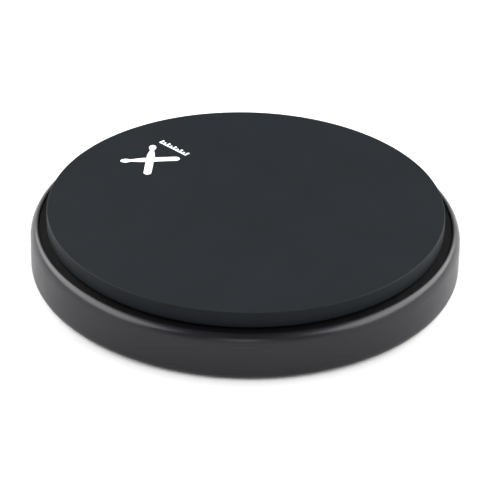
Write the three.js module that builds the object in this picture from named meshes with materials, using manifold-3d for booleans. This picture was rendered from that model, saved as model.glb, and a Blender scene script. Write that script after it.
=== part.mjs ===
// Twelve-inch drum practice pad, in millimetres, +Z up.
// Origin: centre of the face that rests on the table. +Y points to the printed emblem, the edge
// furthest from the player. The pad is a stack inside a hollow moulded housing: a rubber disc on a
// backing plate, on a foam underlay, on a core board, on the housing's deck. A screwed cover closes
// the hollow below, and a non-slip layer is bonded to the cover.
import * as THREE from "three";
import { mergeVertices } from "three/addons/utils/BufferGeometryUtils.js";
import Module from "manifold-3d";

const wasm = await Module();
wasm.setup();

// ---- Driving dimensions (mm) ----
const SIDES = 72; // facets of every large round piece, so that nested circles stay parallel

// Housing shell
const SHELL_R = 152.5; // outer radius: 305 mm across
const SHELL_FOOT_R = 152.3; // outer radius just above the bottom edge
const SHELL_BOTTOM_Z = 1.6;
const FOOT_ROUND_R = 3.0; // the bottom edge's outer round, radially
const FOOT_ROUND_Z = 5.0; // and vertically
const LIP_TOP_Z = 35.4;
const LIP_ROUND_R = 5.3; // the lip's outer round, radially
const LIP_ROUND_Z = 8.0; // and vertically
const MOAT_R = 147.0; // inner face of the lip
const LIP_INNER_EDGE = 0.4;
const DECK_TOP_Z = 25.4;
const DECK_BOTTOM_Z = 22.4;
const SKIRT_INNER_R = 147.0;

// Centre boss and thread insert
const HUB_R = 13.0;
const HUB_BOTTOM_Z = 2.2;
const INSERT_R = 7.0;
const INSERT_TOP_Z = 20.2;
const INSERT_BORE_R = 3.4; // minor diameter of an M8 thread
const INSERT_LEAD_R = 4.2; // countersunk mouth
const FIT_GAP = 0.3;

// Ribs and screw bosses under the deck
const RIBS = 8;
const RIB_THICK = 2.4;
const RIB_BOTTOM_Z = 12.4;
const SCREWS = 8;
const SCREW_CIRCLE_R = 134.0;
const SCREW_FIRST_DEG = 22.5;
const BOSS_R = 4.5;
const PILOT_R = 1.95;
const PILOT_TOP_Z = 19.4;

// Cover screws: countersunk self-tapping, 3.5 x 13
const SCREW_SHANK_R = 1.6;
const SCREW_HEAD_R = 3.4;
const SCREW_HEAD_Z = 2.3; // face of the head, just inside the cover's face
const SCREW_HEAD_RIM = 0.4;
const SCREW_CONE = 1.8;
const SCREW_TIP_Z = 16.3;
const CROSS_W = 0.9;
const CROSS_L = 3.4;
const CROSS_D = 1.2;

// Bottom cover
const COVER_R = 146.7;
const COVER_BOTTOM_Z = 2.2;
const COVER_TOP_Z = 5.2;
const COVER_HOLE_R = 13.3;

// Non-slip layer
const GRIP_R = 122.0;
const GRIP_HOLE_R = 15.0;
const GRIP_EDGE = 0.5;

// The stack on the deck
const CORE_R = 146.5;
const CORE_TOP_Z = 28.4;
const FOAM_R = 146.8;
const FOAM_TOP_Z = 34.6;
const BACKING_R = 138.5;
const BACKING_TOP_Z = 36.4;
const PAD_R = 141.2;
const PAD_TOP_Z = 48.0;
const PAD_EDGE = 0.5;

// Printed emblem
const INK = 0.2;
const EMBLEM_Y = 97.0; // centre of the crossed sticks
const STICK_L = 43.0;
const STICK_TILT_DEG = 39.5; // above the X axis
const STICK_HALF_W = 2.8;
const SCALE_X = 24.9; // middle of the beat scale
const SCALE_Y0 = 83.4;
const SCALE_L = 27.0;
const SCALE_LINE_W = 1.3;
const TICKS = 9;
const TICK_W = 1.5;
const TICK_TALL = 4.4;
const TICK_SHORT = 3.1;

// ---- Helpers ----
const rad = THREE.MathUtils.degToRad;

// A profile of [radius, height] pairs turned round the Z axis. It starts and ends on the axis, or
// closes on itself; it runs outwards along the underside, up, and back along the top.
function turned(profile, segments = SIDES, closed = false) {
  const points = profile.map(([r, z]) => new THREE.Vector2(r, z));
  if (closed) points.push(points[0].clone());
  const g = new THREE.LatheGeometry(points, segments);
  g.rotateX(Math.PI / 2);
  return g;
}

function solid(geometry) {
  const g = geometry.clone();
  g.deleteAttribute("normal");
  if (g.getAttribute("uv")) g.deleteAttribute("uv");
  const merged = mergeVertices(g, 1e-3);
  return new wasm.Manifold(
    new wasm.Mesh({
      numProp: 3,
      vertProperties: new Float32Array(merged.attributes.position.array),
      triVerts: new Uint32Array(merged.index.array),
    }),
  );
}

function geometryOf(manifold) {
  const m = manifold.getMesh();
  const positions = new Float32Array(m.numVert * 3);
  for (let i = 0; i < m.numVert; i++)
    positions.set(
      m.vertProperties.subarray(i * m.numProp, i * m.numProp + 3),
      i * 3,
    );
  const g = new THREE.BufferGeometry();
  g.setAttribute("position", new THREE.BufferAttribute(positions, 3));
  g.setIndex(new THREE.BufferAttribute(new Uint32Array(m.triVerts), 1));
  const flat = g.toNonIndexed();
  flat.computeVertexNormals();
  return flat;
}

function box(w, d, h, x, y, z, deg = 0) {
  const g = new THREE.BoxGeometry(w, d, h);
  g.translate(x, y, z + h / 2);
  g.rotateZ(rad(deg));
  return g;
}

function rod(r, z0, z1, x, y, segments = 24) {
  const g = new THREE.CylinderGeometry(r, r, z1 - z0, segments);
  g.rotateX(Math.PI / 2);
  g.translate(x, y, (z0 + z1) / 2);
  return g;
}

function polar(r, deg) {
  return [r * Math.cos(rad(deg)), r * Math.sin(rad(deg))];
}

function part(name, geometry, material) {
  const mesh = new THREE.Mesh(geometry, material);
  mesh.name = name;
  return mesh;
}

// ---- Materials ----
const finish = (color, roughness, metalness = 0) =>
  new THREE.MeshStandardMaterial({ color, roughness, metalness });
const abs = finish(0x33333a, 0.45);
const coverPlastic = finish(0x26262a, 0.6);
const rubber = finish(0x313538, 0.85);
const foam = finish(0x0b0b0c, 0.95);
const gripFoam = finish(0x17181a, 0.95);
const blackBoard = finish(0x101012, 0.8);
const mdf = finish(0x8a6a45, 0.85);
const brass = finish(0xb08d4a, 0.35, 1);
const zincSteel = finish(0x9a9ca0, 0.35, 1);
const ink = finish(0xe9ecee, 0.6);

const screwAngles = Array.from(
  { length: SCREWS },
  (_, i) => SCREW_FIRST_DEG + (i * 360) / SCREWS,
);

// ---- Housing shell: lip, wall, deck, hub, ribs and screw bosses in one moulding ----
function shellGeometry() {
  const lip = [0, 20, 40, 60, 78].map((a) => [
    SHELL_R - LIP_ROUND_R + LIP_ROUND_R * Math.cos(rad(a)),
    LIP_TOP_Z - LIP_ROUND_Z + LIP_ROUND_Z * Math.sin(rad(a)),
  ]);
  const foot = [0, 22, 45, 68, 90].map((a) => [
    SHELL_FOOT_R - FOOT_ROUND_R + FOOT_ROUND_R * Math.sin(rad(a)),
    SHELL_BOTTOM_Z + FOOT_ROUND_Z - FOOT_ROUND_Z * Math.cos(rad(a)),
  ]);
  let body = solid(
    turned([
      [0, INSERT_TOP_Z],
      [INSERT_R + FIT_GAP, INSERT_TOP_Z],
      [INSERT_R + FIT_GAP, HUB_BOTTOM_Z],
      [HUB_R, HUB_BOTTOM_Z],
      [HUB_R, DECK_BOTTOM_Z - 1],
      [HUB_R + 1, DECK_BOTTOM_Z],
      [SKIRT_INNER_R - 1, DECK_BOTTOM_Z],
      [SKIRT_INNER_R, DECK_BOTTOM_Z - 1],
      [SKIRT_INNER_R, SHELL_BOTTOM_Z + 0.3],
      [SKIRT_INNER_R + 0.3, SHELL_BOTTOM_Z],
      ...foot,
      [SHELL_R, 15],
      ...lip,
      [MOAT_R + LIP_INNER_EDGE, LIP_TOP_Z],
      [MOAT_R, LIP_TOP_Z - LIP_INNER_EDGE],
      [MOAT_R, DECK_TOP_Z],
      [0, DECK_TOP_Z],
    ]),
  );
  const into = 0.6; // how far ribs and bosses run into the deck, hub and wall
  for (let i = 0; i < RIBS; i++) {
    const from = HUB_R - into,
      to = SKIRT_INNER_R + into;
    body = body.add(
      solid(
        box(
          to - from,
          RIB_THICK,
          DECK_BOTTOM_Z + into - RIB_BOTTOM_Z,
          (from + to) / 2,
          0,
          RIB_BOTTOM_Z,
          (i * 360) / RIBS,
        ),
      ),
    );
  }
  for (const a of screwAngles) {
    const [x, y] = polar(SCREW_CIRCLE_R, a);
    body = body.add(
      solid(rod(BOSS_R, COVER_TOP_Z, DECK_BOTTOM_Z + into, x, y, 20)),
    );
  }
  for (const a of screwAngles) {
    const [x, y] = polar(SCREW_CIRCLE_R, a);
    body = body.subtract(
      solid(rod(PILOT_R, COVER_TOP_Z - 1, PILOT_TOP_Z, x, y, 12)),
    );
  }
  return geometryOf(body);
}

// ---- Bottom cover with countersunk screw holes ----
function coverGeometry() {
  let body = solid(
    turned(
      [
        [COVER_HOLE_R, COVER_BOTTOM_Z],
        [COVER_R - 0.4, COVER_BOTTOM_Z],
        [COVER_R, COVER_BOTTOM_Z + 0.4],
        [COVER_R, COVER_TOP_Z],
        [COVER_HOLE_R, COVER_TOP_Z],
      ],
      SIDES,
      true,
    ),
  );
  const mouth = SCREW_HEAD_R + FIT_GAP;
  const throat = SCREW_SHANK_R + FIT_GAP;
  const rim = SCREW_HEAD_Z + SCREW_HEAD_RIM;
  for (const a of screwAngles) {
    const [x, y] = polar(SCREW_CIRCLE_R, a);
    const hole = turned(
      [
        [0, COVER_BOTTOM_Z - 1],
        [mouth, COVER_BOTTOM_Z - 1],
        [mouth, rim + 0.1],
        [throat, rim + SCREW_CONE + 0.1],
        [throat, COVER_TOP_Z + 1],
        [0, COVER_TOP_Z + 1],
      ],
      20,
    );
    hole.translate(x, y, 0);
    body = body.subtract(solid(hole));
  }
  return geometryOf(body);
}

// ---- A cover screw, head down, with a cross recess ----
function screwGeometry(deg) {
  const rim = SCREW_HEAD_Z + SCREW_HEAD_RIM;
  const stem = turned(
    [
      [0, SCREW_HEAD_Z],
      [SCREW_HEAD_R, SCREW_HEAD_Z],
      [SCREW_HEAD_R, rim],
      [SCREW_SHANK_R, rim + SCREW_CONE],
      [SCREW_SHANK_R, SCREW_TIP_Z - 2],
      [0, SCREW_TIP_Z],
    ],
    16,
  );
  let body = solid(stem);
  for (const turn of [0, 90])
    body = body.subtract(
      solid(box(CROSS_L, CROSS_W, CROSS_D + 1, 0, 0, SCREW_HEAD_Z - 1, turn)),
    );
  const g = geometryOf(body);
  g.rotateZ(rad(deg));
  g.translate(...polar(SCREW_CIRCLE_R, deg), 0);
  return g;
}

// ---- Emblem: two crossed drumsticks, and a plain beat scale beside them ----
function stickShape() {
  // Half widths along the stick, from the butt at 0 to the tip at STICK_L.
  const side = [
    [0, 1.2],
    [0.6, 2.2],
    [1.7, STICK_HALF_W],
    [STICK_L - 15.5, STICK_HALF_W],
    [STICK_L - 7.2, 1.45],
  ];
  for (const a of [-55, -25, 0, 25, 50, 75])
    side.push([
      STICK_L - 3.7 + 3.7 * Math.sin(rad(a)),
      2.6 * Math.cos(rad(a)),
    ]);
  const outline = [
    ...side.map(([s, w]) => new THREE.Vector2(s, -w)),
    ...side.reverse().map(([s, w]) => new THREE.Vector2(s, w)),
  ];
  return new THREE.Shape(outline);
}

function sticksGeometry() {
  const one = (deg) => {
    const g = new THREE.ExtrudeGeometry(stickShape(), {
      depth: INK,
      bevelEnabled: false,
    });
    g.translate(-STICK_L / 2, 0, 0);
    g.rotateZ(rad(deg));
    g.translate(0, EMBLEM_Y, PAD_TOP_Z);
    return solid(g);
  };
  return geometryOf(one(STICK_TILT_DEG).add(one(180 - STICK_TILT_DEG)));
}

function scaleGeometry() {
  const base = SCALE_X - TICK_TALL / 2;
  let body = solid(
    box(
      SCALE_LINE_W,
      SCALE_L,
      INK,
      base + SCALE_LINE_W / 2,
      SCALE_Y0 + SCALE_L / 2,
      PAD_TOP_Z,
    ),
  );
  for (let i = 0; i < TICKS; i++) {
    const length = i % 2 === 0 ? TICK_TALL : TICK_SHORT;
    const y =
      SCALE_Y0 + TICK_W / 2 + (i * (SCALE_L - TICK_W)) / (TICKS - 1);
    body = body.add(
      solid(box(length, TICK_W, INK, base + length / 2, y, PAD_TOP_Z)),
    );
  }
  return geometryOf(body);
}

// ---- Assembly ----
const pad = new THREE.Group();

pad.add(part("housing_shell", shellGeometry(), abs));
pad.add(part("bottom_cover", coverGeometry(), coverPlastic));

pad.add(
  part(
    "antislip_base",
    turned(
      [
        [GRIP_HOLE_R, 0],
        [GRIP_R - GRIP_EDGE, 0],
        [GRIP_R, GRIP_EDGE],
        [GRIP_R, COVER_BOTTOM_Z],
        [GRIP_HOLE_R, COVER_BOTTOM_Z],
      ],
      SIDES,
      true,
    ),
    gripFoam,
  ),
);

const disc = (r, z0, z1) =>
  turned([
    [0, z0],
    [r, z0],
    [r, z1],
    [0, z1],
  ]);
pad.add(part("core_board", disc(CORE_R, DECK_TOP_Z, CORE_TOP_Z), mdf));
pad.add(part("foam_underlay", disc(FOAM_R, CORE_TOP_Z, FOAM_TOP_Z), foam));
pad.add(
  part("backing_plate", disc(BACKING_R, FOAM_TOP_Z, BACKING_TOP_Z), blackBoard),
);
pad.add(
  part(
    "playing_pad",
    turned([
      [0, BACKING_TOP_Z],
      [PAD_R - 0.3, BACKING_TOP_Z],
      [PAD_R, BACKING_TOP_Z + 0.3],
      [PAD_R, PAD_TOP_Z - PAD_EDGE],
      [PAD_R - PAD_EDGE, PAD_TOP_Z],
      [0, PAD_TOP_Z],
    ]),
    rubber,
  ),
);

pad.add(
  part(
    "thread_insert",
    turned(
      [
        [INSERT_LEAD_R, HUB_BOTTOM_Z],
        [INSERT_R, HUB_BOTTOM_Z],
        [INSERT_R, INSERT_TOP_Z],
        [INSERT_BORE_R, INSERT_TOP_Z],
        [INSERT_BORE_R, HUB_BOTTOM_Z + INSERT_LEAD_R - INSERT_BORE_R],
      ],
      24,
      true,
    ),
    brass,
  ),
);

screwAngles.forEach((deg, i) =>
  pad.add(part("cover_screw_" + (i + 1), screwGeometry(deg), zincSteel)),
);

pad.add(part("emblem_sticks", sticksGeometry(), ink));
pad.add(part("emblem_beat_scale", scaleGeometry(), ink));

export default pad;
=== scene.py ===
import math

import bmesh
import bpy
import numpy as np
from mathutils import Matrix, Vector


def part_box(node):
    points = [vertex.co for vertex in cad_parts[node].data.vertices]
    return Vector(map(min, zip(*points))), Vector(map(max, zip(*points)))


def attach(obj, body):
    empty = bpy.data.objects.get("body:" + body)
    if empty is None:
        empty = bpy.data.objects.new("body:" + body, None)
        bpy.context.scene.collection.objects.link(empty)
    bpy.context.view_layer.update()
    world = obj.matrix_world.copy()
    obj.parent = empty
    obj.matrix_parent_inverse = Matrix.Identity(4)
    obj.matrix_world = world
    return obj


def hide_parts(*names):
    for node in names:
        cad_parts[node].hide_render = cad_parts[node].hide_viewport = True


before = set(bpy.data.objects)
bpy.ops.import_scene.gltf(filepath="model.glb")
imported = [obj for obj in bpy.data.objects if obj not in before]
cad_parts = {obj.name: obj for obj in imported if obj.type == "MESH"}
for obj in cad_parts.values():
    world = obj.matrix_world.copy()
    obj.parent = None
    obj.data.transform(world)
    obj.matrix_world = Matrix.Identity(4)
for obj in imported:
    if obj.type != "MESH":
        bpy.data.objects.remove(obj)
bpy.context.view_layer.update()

MM = 0.001
BODY = "root"
scene = bpy.context.scene

# Heights and radii come from the CAD nodes, in millimetres.


def span(node):
    lo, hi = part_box(node)
    return [c / MM for c in lo], [c / MM for c in hi]


def radius(node):
    lo, hi = span(node)
    return (hi[0] - lo[0]) / 2


SHELL_R = radius("housing_shell")
SHELL_Z0, SHELL_Z1 = span("housing_shell")[0][2], span("housing_shell")[1][2]
PAD_R = radius("playing_pad")
PAD_Z0, PAD_Z1 = span("playing_pad")[0][2], span("playing_pad")[1][2]
BACK_R = radius("backing_plate")
BACK_Z0, BACK_Z1 = span("backing_plate")[0][2], span("backing_plate")[1][2]
FOAM_R = radius("foam_underlay")
FOAM_Z0, FOAM_Z1 = span("foam_underlay")[0][2], span("foam_underlay")[1][2]
CORE_R = radius("core_board")
CORE_Z0, CORE_Z1 = span("core_board")[0][2], span("core_board")[1][2]
COVER_R = radius("bottom_cover")
COVER_Z0, COVER_Z1 = span("bottom_cover")[0][2], span("bottom_cover")[1][2]
GRIP_R = radius("antislip_base")
GRIP_Z0, GRIP_Z1 = span("antislip_base")[0][2], span("antislip_base")[1][2]
INS_R = radius("thread_insert")
INS_Z0, INS_Z1 = span("thread_insert")[0][2], span("thread_insert")[1][2]
INK_Z0, INK_Z1 = span("emblem_sticks")[0][2], span("emblem_sticks")[1][2]

FOOT_R, FOOT_Z = 3.0, 5.0
LIP_R, LIP_Z = 5.3, 8.0
MOAT_R = 147.0
SKIRT_R = 147.0
DECK_T = 3.0
HUB_R = 13.0
SOCKET_R = INS_R + 0.3
COVER_HOLE = 13.3
GRIP_HOLE = 15.0
SCREW_CIRCLE = 134.0
SCREW_ANGLES = [22.5 + 45.0 * i for i in range(8)]
SCREW_Z = span("cover_screw_1")[0][2]
SCREW_TOP = span("cover_screw_1")[1][2]


# ---------------------------------------------------------------- camera
# The pad stands with its emblem up and to the left of the picture: the camera is turned about Z
# from the emblem's axis, which is +Y.
TURN = math.radians(-46.3)
CAM_D, CAM_EL, CAM_F = 3.0, math.radians(31.04), 4199.0
CAM_ROLL, CAM_PAN, CAM_TILT = math.radians(1.17), 0.0002, 0.0044
BASE_Z = SHELL_Z0 * MM


def turned_by(v):
    c, s = math.cos(TURN), math.sin(TURN)
    return Vector((c * v[0] - s * v[1], s * v[0] + c * v[1], v[2]))


def make_camera():
    at = Vector((0, -CAM_D * math.cos(CAM_EL), CAM_D * math.sin(CAM_EL)))
    forward = -at.normalized()
    right = Vector((1, 0, 0))
    up = right.cross(forward)
    look = (forward + CAM_PAN * right + CAM_TILT * up).normalized()
    r2 = (right - look * right.dot(look)).normalized()
    u2 = r2.cross(look)
    c, s = math.cos(CAM_ROLL), math.sin(CAM_ROLL)
    x_axis, y_axis = c * r2 + s * u2, -s * r2 + c * u2
    data = bpy.data.cameras.new("camera")
    data.sensor_width = 36.0
    data.lens = CAM_F * 36.0 / 492.0
    data.clip_start, data.clip_end = 0.05, 200.0
    cam = bpy.data.objects.new("camera", data)
    scene.collection.objects.link(cam)
    x_axis, y_axis, z_axis = (turned_by(v) for v in (x_axis, y_axis, -look))
    m = Matrix((x_axis, y_axis, z_axis)).transposed().to_4x4()
    m.translation = turned_by(at) + Vector((0, 0, BASE_Z))
    cam.matrix_world = m
    scene.camera = cam


make_camera()


# ---------------------------------------------------------------- mesh tools
def rounded(corners):
    """Corners of (r, z, radius) as a polyline with its corners rounded, and a close guard point at each end of a round."""
    out = []
    n = len(corners)
    for i, (r, z, rad) in enumerate(corners):
        if rad <= 0 or i in (0, n - 1):
            out.append((r, z))
            continue
        p = np.array((r, z), float)
        a = np.array(corners[i - 1][:2], float) - p
        b = np.array(corners[i + 1][:2], float) - p
        la, lb = np.linalg.norm(a), np.linalg.norm(b)
        a, b = a / la, b / lb
        half = math.acos(max(-1.0, min(1.0, float(a @ b)))) / 2
        if half > math.pi / 2 - 0.02:
            out.append((r, z))
            continue
        reach = rad / math.tan(half)
        reach = min(reach, la * 0.46, lb * 0.46)
        rad = reach * math.tan(half)
        mid = (a + b) / np.linalg.norm(a + b)
        centre = p + mid * (rad / math.sin(half))
        t0, t1 = p + a * reach, p + b * reach
        v0, v1 = t0 - centre, t1 - centre
        sweep = math.pi - 2 * half
        steps = max(3, int(math.ceil(math.degrees(sweep) / 11)))
        sign = 1 if v0[0] * v1[1] - v0[1] * v1[0] > 0 else -1
        guard = min(0.12, 0.3 * rad, la * 0.03 + 0.01)
        out.append(tuple(t0 + a * guard))
        for k in range(steps + 1):
            w = sign * sweep * k / steps
            c, s = math.cos(w), math.sin(w)
            out.append((centre[0] + c * v0[0] - s * v0[1], centre[1] + s * v0[0] + c * v0[1]))
        out.append(tuple(t1 + b * guard))
    return out


def spread(profile, most):
    """The same polyline with its long stretches cut into shorter ones."""
    out = [profile[0]]
    for (r0, z0), (r1, z1) in zip(profile, profile[1:]):
        n = max(1, int(math.ceil(math.hypot(r1 - r0, z1 - z0) / most)))
        out += [(r0 + (r1 - r0) * k / n, z0 + (z1 - z0) * k / n) for k in range(1, n + 1)]
    return out


def mesh_object(name, verts_mm, faces, sharp=None):
    me = bpy.data.meshes.new(name)
    me.from_pydata([tuple(c * MM for c in v) for v in verts_mm], [], faces)
    me.validate()
    me.shade_smooth()
    if sharp:
        me.set_sharp_from_angle(angle=math.radians(sharp))
    ob = bpy.data.objects.new(name, me)
    scene.collection.objects.link(ob)
    return ob


def revolve(name, profile, n=256, closed=False, sharp=None, bend=None, at=(0, 0)):
    """A profile of (r, z) in mm turned about Z. It runs out along the underside, up, and back along the top. bend(r, z, angle) may shift each point."""
    prof = list(profile)
    verts, rings = [], []
    angles = [2 * math.pi * k / n for k in range(n)]
    for r, z in prof:
        if r < 1e-6:
            rings.append([len(verts)])
            verts.append((at[0], at[1], z))
            continue
        ring = []
        for w in angles:
            rr, zz = bend(r, z, w) if bend else (r, z)
            ring.append(len(verts))
            verts.append((at[0] + rr * math.cos(w), at[1] + rr * math.sin(w), zz))
        rings.append(ring)
    faces = []
    pairs = list(zip(rings, rings[1:])) + ([(rings[-1], rings[0])] if closed else [])
    for a, b in pairs:
        if len(a) == 1 and len(b) == 1:
            continue
        for k in range(n):
            m = (k + 1) % n
            if len(a) == 1:
                faces.append((a[0], b[m], b[k]))
            elif len(b) == 1:
                faces.append((a[k], a[m], b[0]))
            else:
                faces.append((a[k], a[m], b[m], b[k]))
    return mesh_object(name, verts, faces, sharp)


def loft(name, rings, sharp=30):
    """A closed solid through rings of equal length, each a list of (x, y, z) in mm, with flat ends. Rings go up and turn anticlockwise."""
    verts = [p for ring in rings for p in ring]
    n = len(rings[0])
    faces = [tuple(reversed(range(n)))]
    for j in range(len(rings) - 1):
        a, b = j * n, (j + 1) * n
        faces += [(a + k, a + (k + 1) % n, b + (k + 1) % n, b + k) for k in range(n)]
    last = (len(rings) - 1) * n
    faces.append(tuple(range(last, last + n)))
    return mesh_object(name, verts, faces, sharp)


def prism(name, outline, z0, z1):
    return loft(name, [[(x, y, z0) for x, y in outline], [(x, y, z1) for x, y in outline]])


def combine(target, others, op):
    """Joins or cuts target with each of the others, which are then removed."""
    for o in others:
        mod = target.modifiers.new("b", "BOOLEAN")
        mod.operation = op
        mod.solver = "MANIFOLD"
        mod.object = o
        dg = bpy.context.evaluated_depsgraph_get()
        dg.update()
        me = bpy.data.meshes.new_from_object(target.evaluated_get(dg), depsgraph=dg)
        target.modifiers.remove(mod)
        old = target.data
        target.data = me
        bpy.data.meshes.remove(old)
        data = o.data
        bpy.data.objects.remove(o)
        bpy.data.meshes.remove(data)


def join(name, parts):
    """One object holding the faces of several."""
    bm = bmesh.new()
    for o in parts:
        bm.from_mesh(o.data)
    me = bpy.data.meshes.new(name)
    bm.to_mesh(me)
    bm.free()
    for o in parts:
        data = o.data
        bpy.data.objects.remove(o)
        bpy.data.meshes.remove(data)
    ob = bpy.data.objects.new(name, me)
    scene.collection.objects.link(ob)
    return ob


def smooth_again(ob, degrees=30):
    ob.data.shade_smooth()
    ob.data.set_sharp_from_angle(angle=math.radians(degrees))


def circle(r, n, x=0.0, y=0.0, turn=0.0):
    return [(x + r * math.cos(turn + 2 * math.pi * k / n), y + r * math.sin(turn + 2 * math.pi * k / n)) for k in range(n)]


def polar(r, deg):
    return r * math.cos(math.radians(deg)), r * math.sin(math.radians(deg))


# ---------------------------------------------------------------- material tools
class Nodes:
    """A material with one Principled shader, and short names for the nodes that feed it."""

    def __init__(self, name, rough=0.5, metal=0.0, spec=0.5):
        self.m = bpy.data.materials.new(name)
        self.m.use_nodes = True
        self.nt = self.m.node_tree
        self.nt.nodes.clear()
        self.out = self.nt.nodes.new("ShaderNodeOutputMaterial")
        self.b = self.nt.nodes.new("ShaderNodeBsdfPrincipled")
        self.nt.links.new(self.b.outputs[0], self.out.inputs[0])
        self.b.inputs["Roughness"].default_value = rough
        self.b.inputs["Metallic"].default_value = metal
        self.b.inputs["Specular IOR Level"].default_value = spec
        self.co = self.nt.nodes.new("ShaderNodeTexCoord").outputs["Object"]

    def link(self, a, b):
        self.nt.links.new(a, b)

    def noise(self, scale, detail=3.0, rough=0.55, co=None, stretch=None):
        n = self.nt.nodes.new("ShaderNodeTexNoise")
        n.inputs["Scale"].default_value = scale
        n.inputs["Detail"].default_value = detail
        n.inputs["Roughness"].default_value = rough
        src = co or self.co
        if stretch:
            mp = self.nt.nodes.new("ShaderNodeMapping")
            mp.inputs["Scale"].default_value = stretch
            self.link(src, mp.inputs["Vector"])
            src = mp.outputs[0]
        self.link(src, n.inputs["Vector"])
        return n.outputs["Fac"]

    def cells(self, scale, feature="F1", co=None):
        n = self.nt.nodes.new("ShaderNodeTexVoronoi")
        n.feature = feature
        n.inputs["Scale"].default_value = scale
        self.link(co or self.co, n.inputs["Vector"])
        return n.outputs["Distance"]

    def span(self, value, lo, hi, out_lo, out_hi, smooth=False):
        n = self.nt.nodes.new("ShaderNodeMapRange")
        n.clamp = True
        if smooth:
            n.interpolation_type = "SMOOTHSTEP"
        self.link(value, n.inputs["Value"])
        for key, v in (("From Min", lo), ("From Max", hi), ("To Min", out_lo), ("To Max", out_hi)):
            n.inputs[key].default_value = v
        return n.outputs["Result"]

    def math(self, op, a, b=None, c=None):
        n = self.nt.nodes.new("ShaderNodeMath")
        n.operation = op
        for i, v in enumerate((a, b, c)):
            if v is None:
                continue
            if isinstance(v, (int, float)):
                n.inputs[i].default_value = v
            else:
                self.link(v, n.inputs[i])
        return n.outputs[0]

    def mix(self, fac, a, b):
        """Colour a where fac is 0, b where it is 1."""
        n = self.nt.nodes.new("ShaderNodeMix")
        n.data_type = "RGBA"
        for sock, v in ((n.inputs[6], a), (n.inputs[7], b)):
            if isinstance(v, tuple):
                sock.default_value = (*v, 1.0)
            else:
                self.link(v, sock)
        if isinstance(fac, (int, float)):
            n.inputs[0].default_value = fac
        else:
            self.link(fac, n.inputs[0])
        return n.outputs[2]

    def radial(self):
        """Distance from the Z axis, in metres."""
        s = self.nt.nodes.new("ShaderNodeSeparateXYZ")
        self.link(self.co, s.inputs[0])
        n = self.nt.nodes.new("ShaderNodeVectorMath")
        n.operation = "LENGTH"
        c = self.nt.nodes.new("ShaderNodeCombineXYZ")
        self.link(s.outputs[0], c.inputs[0])
        self.link(s.outputs[1], c.inputs[1])
        self.link(c.outputs[0], n.inputs[0])
        return n.outputs["Value"]

    def height(self):
        s = self.nt.nodes.new("ShaderNodeSeparateXYZ")
        self.link(self.co, s.inputs[0])
        return s.outputs[2]

    def colour(self, socket):
        self.link(socket, self.b.inputs["Base Color"])

    def roughness(self, socket):
        self.link(socket, self.b.inputs["Roughness"])

    def bump(self, height, distance_mm, strength=1.0, after=None):
        n = self.nt.nodes.new("ShaderNodeBump")
        n.inputs["Strength"].default_value = strength
        n.inputs["Distance"].default_value = distance_mm * MM
        self.link(height, n.inputs["Height"])
        if after is not None:
            self.link(after, n.inputs["Normal"])
        self.link(n.outputs[0], self.b.inputs["Normal"])
        return n.outputs[0]


def pad_rubber():
    k = Nodes("pad_rubber_matte", rough=0.51, spec=0.11)
    broad = k.noise(26, 4, 0.6)
    fine = k.noise(420, 3, 0.6)
    tone = k.mix(k.span(broad, 0.3, 0.7, 0, 1), (0.0047, 0.0061, 0.0078), (0.0055, 0.0071, 0.0090))
    k.colour(k.mix(k.span(fine, 0.62, 0.8, 0, 0.55), tone, (0.011, 0.0135, 0.0155)))
    k.roughness(k.span(broad, 0.3, 0.7, 0.50, 0.515))
    grain = k.noise(1500, 2, 0.6)
    first = k.bump(grain, 0.05, 0.5)
    k.bump(k.noise(300, 3, 0.5), 0.05, 0.35, after=first)
    return k.m


def shell_plastic():
    k = Nodes("housing_moulded_satin", rough=0.34, spec=0.32)
    broad = k.noise(18, 4, 0.6)
    spark = k.noise(1300, 2, 0.6)
    pits = k.cells(900)
    tone = k.mix(k.span(broad, 0.3, 0.7, 0, 1), (0.0029, 0.0030, 0.0050), (0.0038, 0.0039, 0.0063))
    k.colour(k.mix(k.span(spark, 0.55, 0.8, 0, 0.4), tone, (0.010, 0.010, 0.012)))
    k.roughness(k.span(k.noise(60, 5, 0.65), 0.3, 0.7, 0.30, 0.37))
    first = k.bump(spark, 0.03, 0.45)
    k.bump(pits, 0.03, 0.25, after=first)
    return k.m


def cover_plastic():
    k = Nodes("cover_moulded_matte", rough=0.6, spec=0.45)
    broad = k.noise(22, 4, 0.6)
    spark = k.noise(1000, 2, 0.6)
    tone = k.mix(k.span(broad, 0.3, 0.7, 0, 1), (0.014, 0.014, 0.0155), (0.018, 0.018, 0.0195))
    k.colour(k.mix(k.span(spark, 0.55, 0.8, 0, 0.5), tone, (0.030, 0.030, 0.032)))
    k.roughness(k.span(k.noise(50, 4, 0.6), 0.3, 0.7, 0.54, 0.66))
    first = k.bump(spark, 0.06, 0.6)
    k.bump(k.cells(650), 0.05, 0.3, after=first)
    return k.m


def foam(name, dark, light, scale, depth, rough=0.95, spec=0.2):
    k = Nodes(name, rough=rough, spec=spec)
    cell = k.cells(scale)
    small = k.cells(scale * 2.3)
    shade = k.noise(scale * 1.5, 3, 0.6)
    tone = k.mix(k.span(cell, 0.1, 0.65, 0, 1), dark, light)
    bright = tuple(min(1.0, c * 2.2) for c in light)
    k.colour(k.mix(k.span(shade, 0.56, 0.76, 0, 0.5), tone, bright))
    first = k.bump(cell, depth, 0.9)
    k.bump(small, depth * 0.5, 0.7, after=first)
    return k.m


def black_board():
    k = Nodes("backing_board_black", rough=0.8, spec=0.25)
    fibre = k.noise(400, 4, 0.7, stretch=(1, 1, 6))
    k.colour(k.mix(k.span(fibre, 0.3, 0.7, 0, 1), (0.0015, 0.0015, 0.0017), (0.0055, 0.0055, 0.006)))
    k.roughness(k.span(fibre, 0.3, 0.7, 0.72, 0.9))
    k.bump(fibre, 0.06, 0.6)
    return k.m


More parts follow.
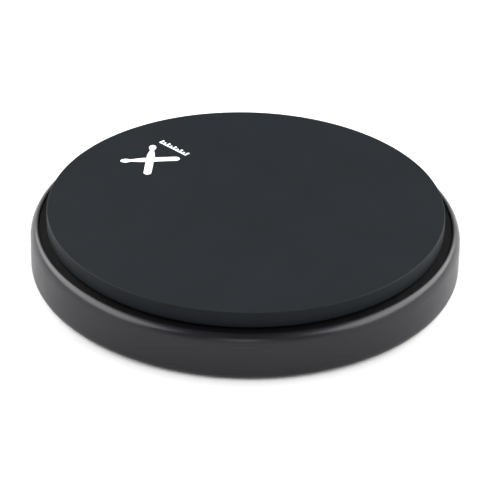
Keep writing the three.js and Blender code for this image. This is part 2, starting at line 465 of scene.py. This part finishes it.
def mdf():
    k = Nodes("core_board_mdf", rough=0.85, spec=0.25)
    broad = k.noise(30, 5, 0.65)
    fibre = k.noise(900, 4, 0.7, stretch=(1, 1, 3))
    tone = k.mix(k.span(broad, 0.3, 0.7, 0, 1), (0.20, 0.115, 0.055), (0.29, 0.175, 0.085))
    k.colour(k.mix(k.span(fibre, 0.5, 0.75, 0, 0.7), tone, (0.12, 0.065, 0.03)))
    k.roughness(k.span(fibre, 0.3, 0.7, 0.78, 0.92))
    k.bump(fibre, 0.06, 0.6)
    return k.m


def brass():
    k = Nodes("insert_brass_turned", rough=0.3, metal=1.0)
    rings = k.math("SINE", k.math("MULTIPLY", k.radial(), 2 * math.pi / 0.00022))
    smear = k.noise(260, 4, 0.6)
    tone = k.mix(k.span(smear, 0.3, 0.75, 0, 1), (0.78, 0.56, 0.25), (0.58, 0.38, 0.15))
    k.colour(tone)
    k.roughness(k.span(smear, 0.3, 0.7, 0.24, 0.42))
    k.bump(rings, 0.006, 0.5)
    return k.m


def zinc():
    k = Nodes("screw_zinc_plated", rough=0.32, metal=1.0)
    smear = k.noise(500, 4, 0.6)
    k.colour(k.mix(k.span(smear, 0.3, 0.7, 0, 1), (0.56, 0.575, 0.60), (0.40, 0.41, 0.42)))
    k.roughness(k.span(smear, 0.3, 0.7, 0.26, 0.44))
    k.bump(k.noise(1800, 2, 0.5), 0.01, 0.5)
    return k.m


def white_ink():
    k = Nodes("emblem_white_ink", rough=0.6, spec=0.35)
    broad = k.noise(120, 3, 0.6)
    fine = k.noise(1700, 3, 0.6)
    tone = k.mix(k.span(broad, 0.3, 0.7, 0, 1), (0.80, 0.83, 0.855), (0.70, 0.735, 0.765))
    k.colour(k.mix(k.span(fine, 0.66, 0.8, 0, 0.35), tone, (0.50, 0.53, 0.56)))
    k.roughness(k.span(fine, 0.3, 0.7, 0.54, 0.68))
    k.bump(fine, 0.03, 0.5)
    return k.m


MATS = {
    "pad_rubber": pad_rubber(),
    "shell_plastic": shell_plastic(),
    "cover_plastic": cover_plastic(),
    "black_foam": foam("underlay_foam_black", (0.0003, 0.0003, 0.0004), (0.0012, 0.0012, 0.0014), 900, 0.3, rough=0.6, spec=0.085),
    "grip_foam": foam("grip_foam_rubber", (0.004, 0.0045, 0.005), (0.015, 0.016, 0.017), 950, 0.18),
    "black_board": black_board(),
    "mdf": mdf(),
    "brass": brass(),
    "screw_steel": zinc(),
    "white_ink": white_ink(),
}


def place(ob, slot, *nodes):
    ob.data.materials.clear()
    ob.data.materials.append(MATS[slot])
    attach(ob, BODY)
    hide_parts(*nodes)
    return ob


# ---------------------------------------------------------------- housing
def make_housing():
    deck0, deck1 = CORE_Z0 - DECK_T, CORE_Z0
    under = rounded([
        (0, INS_Z1, 0), (SOCKET_R, INS_Z1, 0), (SOCKET_R, COVER_Z0, 0.35), (HUB_R, COVER_Z0, 0.5),
        (HUB_R, deck0, 1.2), (SKIRT_R, deck0, 1.2), (SKIRT_R, SHELL_Z0, 0.3), (SHELL_R - 3.4, SHELL_Z0, 0),
    ])
    foot_r = SHELL_R - 0.2
    foot = [(foot_r - FOOT_R + FOOT_R * math.sin(math.radians(a)),
             SHELL_Z0 + FOOT_Z - FOOT_Z * math.cos(math.radians(a))) for a in range(0, 91, 6)]
    z_lip = SHELL_Z1 - LIP_Z
    wall = []
    for k in range(1, 12):
        t = k / 12
        z = SHELL_Z0 + FOOT_Z + (z_lip - SHELL_Z0 - FOOT_Z) * t
        wall.append((foot_r + (SHELL_R - foot_r) * (1 - (1 - t) ** 2), z))
    lip = [(SHELL_R - LIP_R + LIP_R * math.cos(math.radians(a)), z_lip + LIP_Z * math.sin(math.radians(a)))
           for a in list(range(0, 78, 4)) + [79, 82, 85]]
    top = rounded([
        (SHELL_R - LIP_R + 0.46, SHELL_Z1 - 0.03, 0), (MOAT_R, SHELL_Z1, 0.5), (MOAT_R, deck1, 0.4), (0, deck1, 0),
    ])
    prof = under[:-1] + foot + wall + lip + top[1:]
    ob = revolve("housing", spread(prof, 24), n=320)
    adds, cuts = [], []
    into = 0.6
    for i in range(8):
        a = math.radians(45.0 * i)
        c, s = math.cos(a), math.sin(a)
        x0, x1, h0, h1 = HUB_R - into, SKIRT_R + into, 1.2, 1.5

        def at(x, y):
            return (c * x - s * y, s * x + c * y)

        lo, hi = deck0 - 10.0, deck0 + into
        ring0 = [(*at(x0, -h0), lo), (*at(x1, -h0), lo), (*at(x1, h0), lo), (*at(x0, h0), lo)]
        ring1 = [(*at(x0, -h1), hi), (*at(x1, -h1), hi), (*at(x1, h1), hi), (*at(x0, h1), hi)]
        adds.append(loft("rib", [ring0, ring1]))
    for deg in SCREW_ANGLES:
        x, y = polar(SCREW_CIRCLE, deg)
        adds.append(loft("boss", [[(px, py, COVER_Z1) for px, py in circle(4.35, 40, x, y)],
                                  [(px, py, deck0 + into) for px, py in circle(4.7, 40, x, y)]]))
        cuts.append(prism("pilot", circle(1.8, 28, x, y), COVER_Z1 - 1, 19.4))
    combine(ob, adds, "UNION")
    combine(ob, cuts, "DIFFERENCE")
    smooth_again(ob, 28)
    return place(ob, "shell_plastic", "housing_shell")


# ---------------------------------------------------------------- the stack on the deck
def disc_piece(name, r, z0, z1, edge, n=256, rings=30, bend=None, edge_low=None):
    low = edge if edge_low is None else edge_low
    prof = rounded([(0, z0, 0), (r, z0, low), (r, z1, edge), (0, z1, 0)])
    return revolve(name, spread(prof, rings), n=n, bend=bend)


def make_pad():
    prof = rounded([(0, PAD_Z0, 0), (PAD_R, PAD_Z0, 0.35), (PAD_R, PAD_Z1, 0.55), (0, PAD_Z1, 0)])
    return place(revolve("rubber_disc", spread(prof, 12), n=320), "pad_rubber", "playing_pad")


def make_foam():
    def bend(r, z, w):
        if r < BACK_R - 2:
            return r, z
        lift = 0.04 * math.sin(23 * w + 1.1) * math.sin(9 * w) + 0.03 * math.sin(61 * w + 0.4 * r)
        if z > FOAM_Z1 - 0.4 and r > BACK_R + 0.6:
            return r, z - 0.07 + lift
        return r, z

    prof = rounded([(0, FOAM_Z0, 0), (FOAM_R, FOAM_Z0, 0.5), (FOAM_R, FOAM_Z1, 0.35), (BACK_R + 1.0, FOAM_Z1, 0), (BACK_R - 1.0, FOAM_Z1, 0), (0, FOAM_Z1, 0)])
    ob = place(revolve("foam_layer", spread(prof, 20), n=384, bend=bend), "black_foam", "foam_underlay")
    return ob


# ---------------------------------------------------------------- underside
def make_cover():
    prof = rounded([
        (COVER_HOLE, COVER_Z0, 0.4), (COVER_HOLE + 1, COVER_Z0, 0), (127.0, COVER_Z0, 0), (127.4, COVER_Z0 + 0.4, 0.1),
        (128.2, COVER_Z0 + 0.4, 0.1), (128.6, COVER_Z0, 0), (140.6, COVER_Z0, 0), (141.0, COVER_Z0 + 0.4, 0.1),
        (141.8, COVER_Z0 + 0.4, 0.1), (142.2, COVER_Z0, 0), (COVER_R, COVER_Z0, 0.5), (COVER_R, COVER_Z1, 0.3),
        (COVER_HOLE, COVER_Z1, 0.3),
    ])
    ob = revolve("base_cover", spread(prof, 18), n=256, closed=True)
    cuts = []
    for deg in SCREW_ANGLES:
        x, y = polar(SCREW_CIRCLE, deg)
        cuts.append(loft("sink", [
            [(px, py, COVER_Z0 - 1.0) for px, py in circle(3.7, 48, x, y)],
            [(px, py, SCREW_Z + 0.45) for px, py in circle(3.62, 48, x, y)],
            [(px, py, SCREW_Z + 2.3) for px, py in circle(1.95, 48, x, y)],
            [(px, py, COVER_Z1 + 1.0) for px, py in circle(1.95, 48, x, y)],
        ]))
    combine(ob, cuts, "DIFFERENCE")
    smooth_again(ob, 28)
    return place(ob, "cover_plastic", "bottom_cover")


def make_grip():
    prof = rounded([
        (GRIP_HOLE, GRIP_Z0, 0.5), (GRIP_R, GRIP_Z0, 0.7), (GRIP_R, GRIP_Z1, 0.2), (GRIP_HOLE, GRIP_Z1, 0.2), (GRIP_HOLE, GRIP_Z0, 0),
    ])
    prof = prof[1:] if prof[0] == prof[-1] else prof
    ob = place(revolve("grip_layer", spread(prof, 14), n=256, closed=True), "grip_foam", "antislip_base")
    return ob


def make_insert():
    pitch, r_minor, r_major = 1.25, 3.4, 4.0
    lead = 4.25

    def bend(r, z, w):
        if r < lead + 0.05:  # the bore's thread
            t = (z / pitch - w / (2 * math.pi)) % 1.0
            tooth = max(0.0, min(1.0, 1.35 * (1 - abs(2 * t - 1)) - 0.18))
            return max(r, r_minor + (r_major - r_minor) * tooth), z
        if r > INS_R - 0.05 and (INS_Z0 + 2.2 < z < INS_Z0 + 7.6 or INS_Z0 + 10.2 < z < INS_Z1 - 1.6):  # knurled bands
            a = abs(math.sin(12 * w + 1.1 * z)) * abs(math.sin(12 * w - 1.1 * z))
            return r - 0.42 * (1 - a), z
        return r, z

    outer = rounded([(INS_R - 1.5, INS_Z0, 0), (INS_R, INS_Z0, 0.25), (INS_R, INS_Z1, 0.3), (INS_R - 1.5, INS_Z1, 0)])
    outer = spread(outer, 0.45)
    bore = [(r_minor, INS_Z1 - 0.02 - (INS_Z1 - INS_Z0 - 1.0) * k / 110) for k in range(111)]
    mouth = [(r_minor + (lead - r_minor) * k / 6, INS_Z0 + 0.98 - 0.98 * k / 6) for k in range(1, 7)]
    prof = outer + [(r_minor + 1.2, INS_Z1)] + [(r_minor + 0.65, INS_Z1)] + bore + mouth
    ob = revolve("brass_insert", prof, n=144, closed=True, sharp=42, bend=bend)
    return place(ob, "brass", "thread_insert")


def make_screw(i, deg):
    x, y = polar(SCREW_CIRCLE, deg)
    head_r, rim, cone = 3.4, 0.35, 1.85
    pitch, core, crest = 1.35, 1.22, 1.72

    def bend(r, z, w):
        if abs(r - core) < 1e-6 and z > SCREW_Z + rim + cone:
            t = (z / pitch - w / (2 * math.pi)) % 1.0
            tooth = max(0.0, 1 - abs(2 * t - 1) * 2.4)
            fade = min(1.0, (SCREW_TOP - 0.6 - z) / 2.2) if z > SCREW_TOP - 2.8 else min(1.0, (z - SCREW_Z - rim - cone) / 0.8)
            return core + (crest - core) * tooth * max(0.0, fade), z
        return r, z

    z_neck = SCREW_Z + rim + cone
    head = rounded([(0, SCREW_Z + 0.02, 0), (head_r, SCREW_Z, 0.16), (head_r, SCREW_Z + rim, 0.12), (core, z_neck, 0)])
    steps = 84
    shank = [(core, z_neck + 0.05 + (SCREW_TOP - 2.4 - z_neck) * k / steps) for k in range(steps + 1)]
    tip = [(core * (1 - k / 7), SCREW_TOP - 2.3 + 2.3 * k / 7) for k in range(1, 7)] + [(0, SCREW_TOP)]
    ob = revolve(f"screw_{i}", spread(head[:-1], 0.8) + shank + tip, n=48, sharp=35, bend=bend, at=(x, y))
    turn = math.radians(17.0 * i + 8)

    def cross(wing, half, z):
        pts = [(half, -half), (wing, -half), (wing, half), (half, half), (half, wing), (-half, wing), (-half, half),
               (-wing, half), (-wing, -half), (-half, -half), (-half, -wing), (half, -wing)]
        c, s = math.cos(turn), math.sin(turn)
        return [(x + c * px - s * py, y + s * px + c * py, z) for px, py in pts]

    cutter = loft("cross", [cross(1.95, 0.50, SCREW_Z - 0.4), cross(1.72, 0.44, SCREW_Z + 0.05), cross(0.92, 0.32, SCREW_Z + 1.55), cross(0.42, 0.16, SCREW_Z + 1.95)])
    combine(ob, [cutter], "DIFFERENCE")
    smooth_again(ob, 32)
    return place(ob, "screw_steel", f"cover_screw_{i}")


# ---------------------------------------------------------------- printed emblem
def ink_film(name, outline):
    """A thin film on the rubber from a closed outline in mm, with a softened upper edge."""
    n = len(outline)
    pts = np.array(outline, float)
    nxt, prv = np.roll(pts, -1, 0), np.roll(pts, 1, 0)
    t = nxt - prv
    t /= np.linalg.norm(t, axis=1)[:, None]
    inward = np.stack([-t[:, 1], t[:, 0]], 1)
    z0, z1 = INK_Z0, INK_Z0 + 0.16
    rings = [
        [(*p, z0) for p in pts],
        [(*p, z0 + 0.09) for p in pts],
        [(*p, z1 - 0.02) for p in pts + inward * 0.05],
        [(*p, z1) for p in pts + inward * 0.12],
    ]
    assert n == len(rings[-1])
    return loft(name, rings, sharp=None)


def stick_outline(deg, cy, length=43.0):
    half = 2.8
    side = [(0.0, 0.0), (0.08, 0.7), (0.35, 1.35), (0.8, 1.95), (1.5, 2.5), (2.4, half)]
    side += [(2.4 + (length - 15.5 - 2.4) * k / 10, half) for k in range(1, 11)]
    s0, s1 = length - 15.5, length - 7.0
    for k in range(1, 9):
        u = k / 8
        side.append((s0 + (s1 - s0) * u, half + (1.38 - half) * (u * u * (3 - 2 * u) * 0.6 + u * 0.4)))
    for a in range(-58, 90, 8):
        side.append((length - 3.7 + 3.7 * math.sin(math.radians(a)), 2.6 * math.cos(math.radians(a))))
    side.append((length, 0.0))
    pts = [(s, -w) for s, w in side] + [(s, w) for s, w in reversed(side[1:-1])]
    c, s_ = math.cos(math.radians(deg)), math.sin(math.radians(deg))
    return [(c * (s - length / 2) - s_ * w, cy + s_ * (s - length / 2) + c * w) for s, w in pts]


def make_emblem():
    lo, hi = span("emblem_sticks")
    cy = (lo[1] + hi[1]) / 2
    tilt = 39.5
    a = ink_film("print_sticks", stick_outline(tilt, cy))
    b = ink_film("print_stick_b", stick_outline(180 - tilt, cy))
    combine(a, [b], "UNION")
    smooth_again(a, 40)
    place(a, "white_ink", "emblem_sticks")
    lo, hi = span("emblem_beat_scale")
    x0, y0, y1 = lo[0], lo[1], hi[1]
    tall, short, line, tick = hi[0] - lo[0], 3.1, 1.3, 1.5
    n = 9
    outline = [(x0, y0), (x0 + tall, y0)]
    for i in range(n):
        y = y0 + tick / 2 + i * (y1 - y0 - tick) / (n - 1)
        reach = tall if i % 2 == 0 else short
        if i == 0:
            outline += [(x0 + reach, y + tick / 2), (x0 + line, y + tick / 2)]
        elif i == n - 1:
            outline += [(x0 + line, y - tick / 2), (x0 + reach, y - tick / 2), (x0 + reach, y + tick / 2), (x0, y + tick / 2)]
        else:
            outline += [(x0 + line, y - tick / 2), (x0 + reach, y - tick / 2), (x0 + reach, y + tick / 2), (x0 + line, y + tick / 2)]
    soft = []
    m = len(outline)
    for i in range(m):  # each corner gets a small round
        p, q, r = (np.array(outline[(i + d) % m], float) for d in (-1, 0, 1))
        u, v = (p - q) / np.linalg.norm(p - q), (r - q) / np.linalg.norm(r - q)
        ease = 0.2
        for w in (0.0, 0.35, 0.65, 1.0):
            soft.append(tuple((1 - w) ** 2 * (q + u * ease) + 2 * w * (1 - w) * q + w * w * (q + v * ease)))
    s = ink_film("print_beat_scale", soft)
    smooth_again(s, 40)
    place(s, "white_ink", "emblem_beat_scale")


make_housing()
make_pad()
place(disc_piece("backing_disc", BACK_R, BACK_Z0, BACK_Z1, 0.2), "black_board", "backing_plate")
place(disc_piece("core_disc", CORE_R, CORE_Z0, CORE_Z1, 0.25), "mdf", "core_board")
make_foam()
make_cover()
make_grip()
make_insert()
for index, angle in enumerate(SCREW_ANGLES):
    make_screw(index + 1, angle)
make_emblem()


# ---------------------------------------------------------------- studio
def make_floor():
    me = bpy.data.meshes.new("floor")
    r = 40.0
    me.from_pydata([(-r, -r, 0), (r, -r, 0), (r, r, 0), (-r, r, 0)], [], [(0, 1, 2, 3)])
    ob = bpy.data.objects.new("floor", me)
    scene.collection.objects.link(ob)
    k = Nodes("floor_paper", rough=0.9, spec=0.2)
    k.colour(k.mix(k.noise(3, 2, 0.5), (0.635, 0.635, 0.635), (0.645, 0.645, 0.645)))
    # Beyond the softboxes' reach the paper glows a little, so that it stays pale out to the horizon.
    k.b.inputs["Emission Color"].default_value = (1, 1, 1, 1)
    k.link(k.span(k.radial(), 0.5, 1.5, 0.0, 0.95, smooth=True), k.b.inputs["Emission Strength"])
    me.materials.append(k.m)


def softbox(name, at, size, power, tint=(1, 1, 1), aim=(0, 0, 0.03)):
    """A square studio light in the camera's turned frame: x to the picture's right, y away from the camera, z up, in metres."""
    data = bpy.data.lights.new(name, "AREA")
    data.shape = "RECTANGLE"
    data.size, data.size_y = size
    data.energy = power
    data.color = tint
    ob = bpy.data.objects.new(name, data)
    scene.collection.objects.link(ob)
    p, target = turned_by(at), turned_by(aim)
    ob.location = p
    ob.rotation_mode = "QUATERNION"
    ob.rotation_quaternion = (target - p).to_track_quat("-Z", "Y")
    ob.visible_camera = False
    return ob


def make_world(low, high):
    """A pale backdrop round the horizon that falls away to a dim ceiling."""
    world = bpy.data.worlds.new("studio")
    world.use_nodes = True
    nt = world.node_tree
    way = nt.nodes.new("ShaderNodeTexCoord").outputs["Generated"]
    parts = nt.nodes.new("ShaderNodeSeparateXYZ")
    nt.links.new(way, parts.inputs[0])
    fade = nt.nodes.new("ShaderNodeMapRange")
    fade.interpolation_type = "SMOOTHSTEP"
    nt.links.new(parts.outputs[2], fade.inputs["Value"])
    for key, v in (("From Min", math.sin(math.radians(3))), ("From Max", math.sin(math.radians(21))), ("To Min", low), ("To Max", high)):
        fade.inputs[key].default_value = v
    nt.nodes["Background"].inputs[0].default_value = (1, 1, 1, 1)
    nt.links.new(fade.outputs["Result"], nt.nodes["Background"].inputs[1])
    scene.world = world


def around(turn, rise, away):
    """A place by its bearing from the camera's side (to the picture's right), its height angle and its distance."""
    a, e = math.radians(turn), math.radians(rise)
    return (away * math.cos(e) * math.sin(a), -away * math.cos(e) * math.cos(a), away * math.sin(e))


LIGHTS = {
    "left": (around(-100, 38, 1.5), (2.8, 1.15), 72.0),
    "right": (around(98, 37, 1.5), (2.8, 1.15), 76.0),
    "front": (around(0, 22, 2.0), (0.5, 0.5), 5.0),
}
make_floor()
for light, (where, how_big, watts) in LIGHTS.items():
    softbox(light, where, how_big, watts)
make_world(1.0, 0.06)
scene.view_settings.view_transform = "Standard"
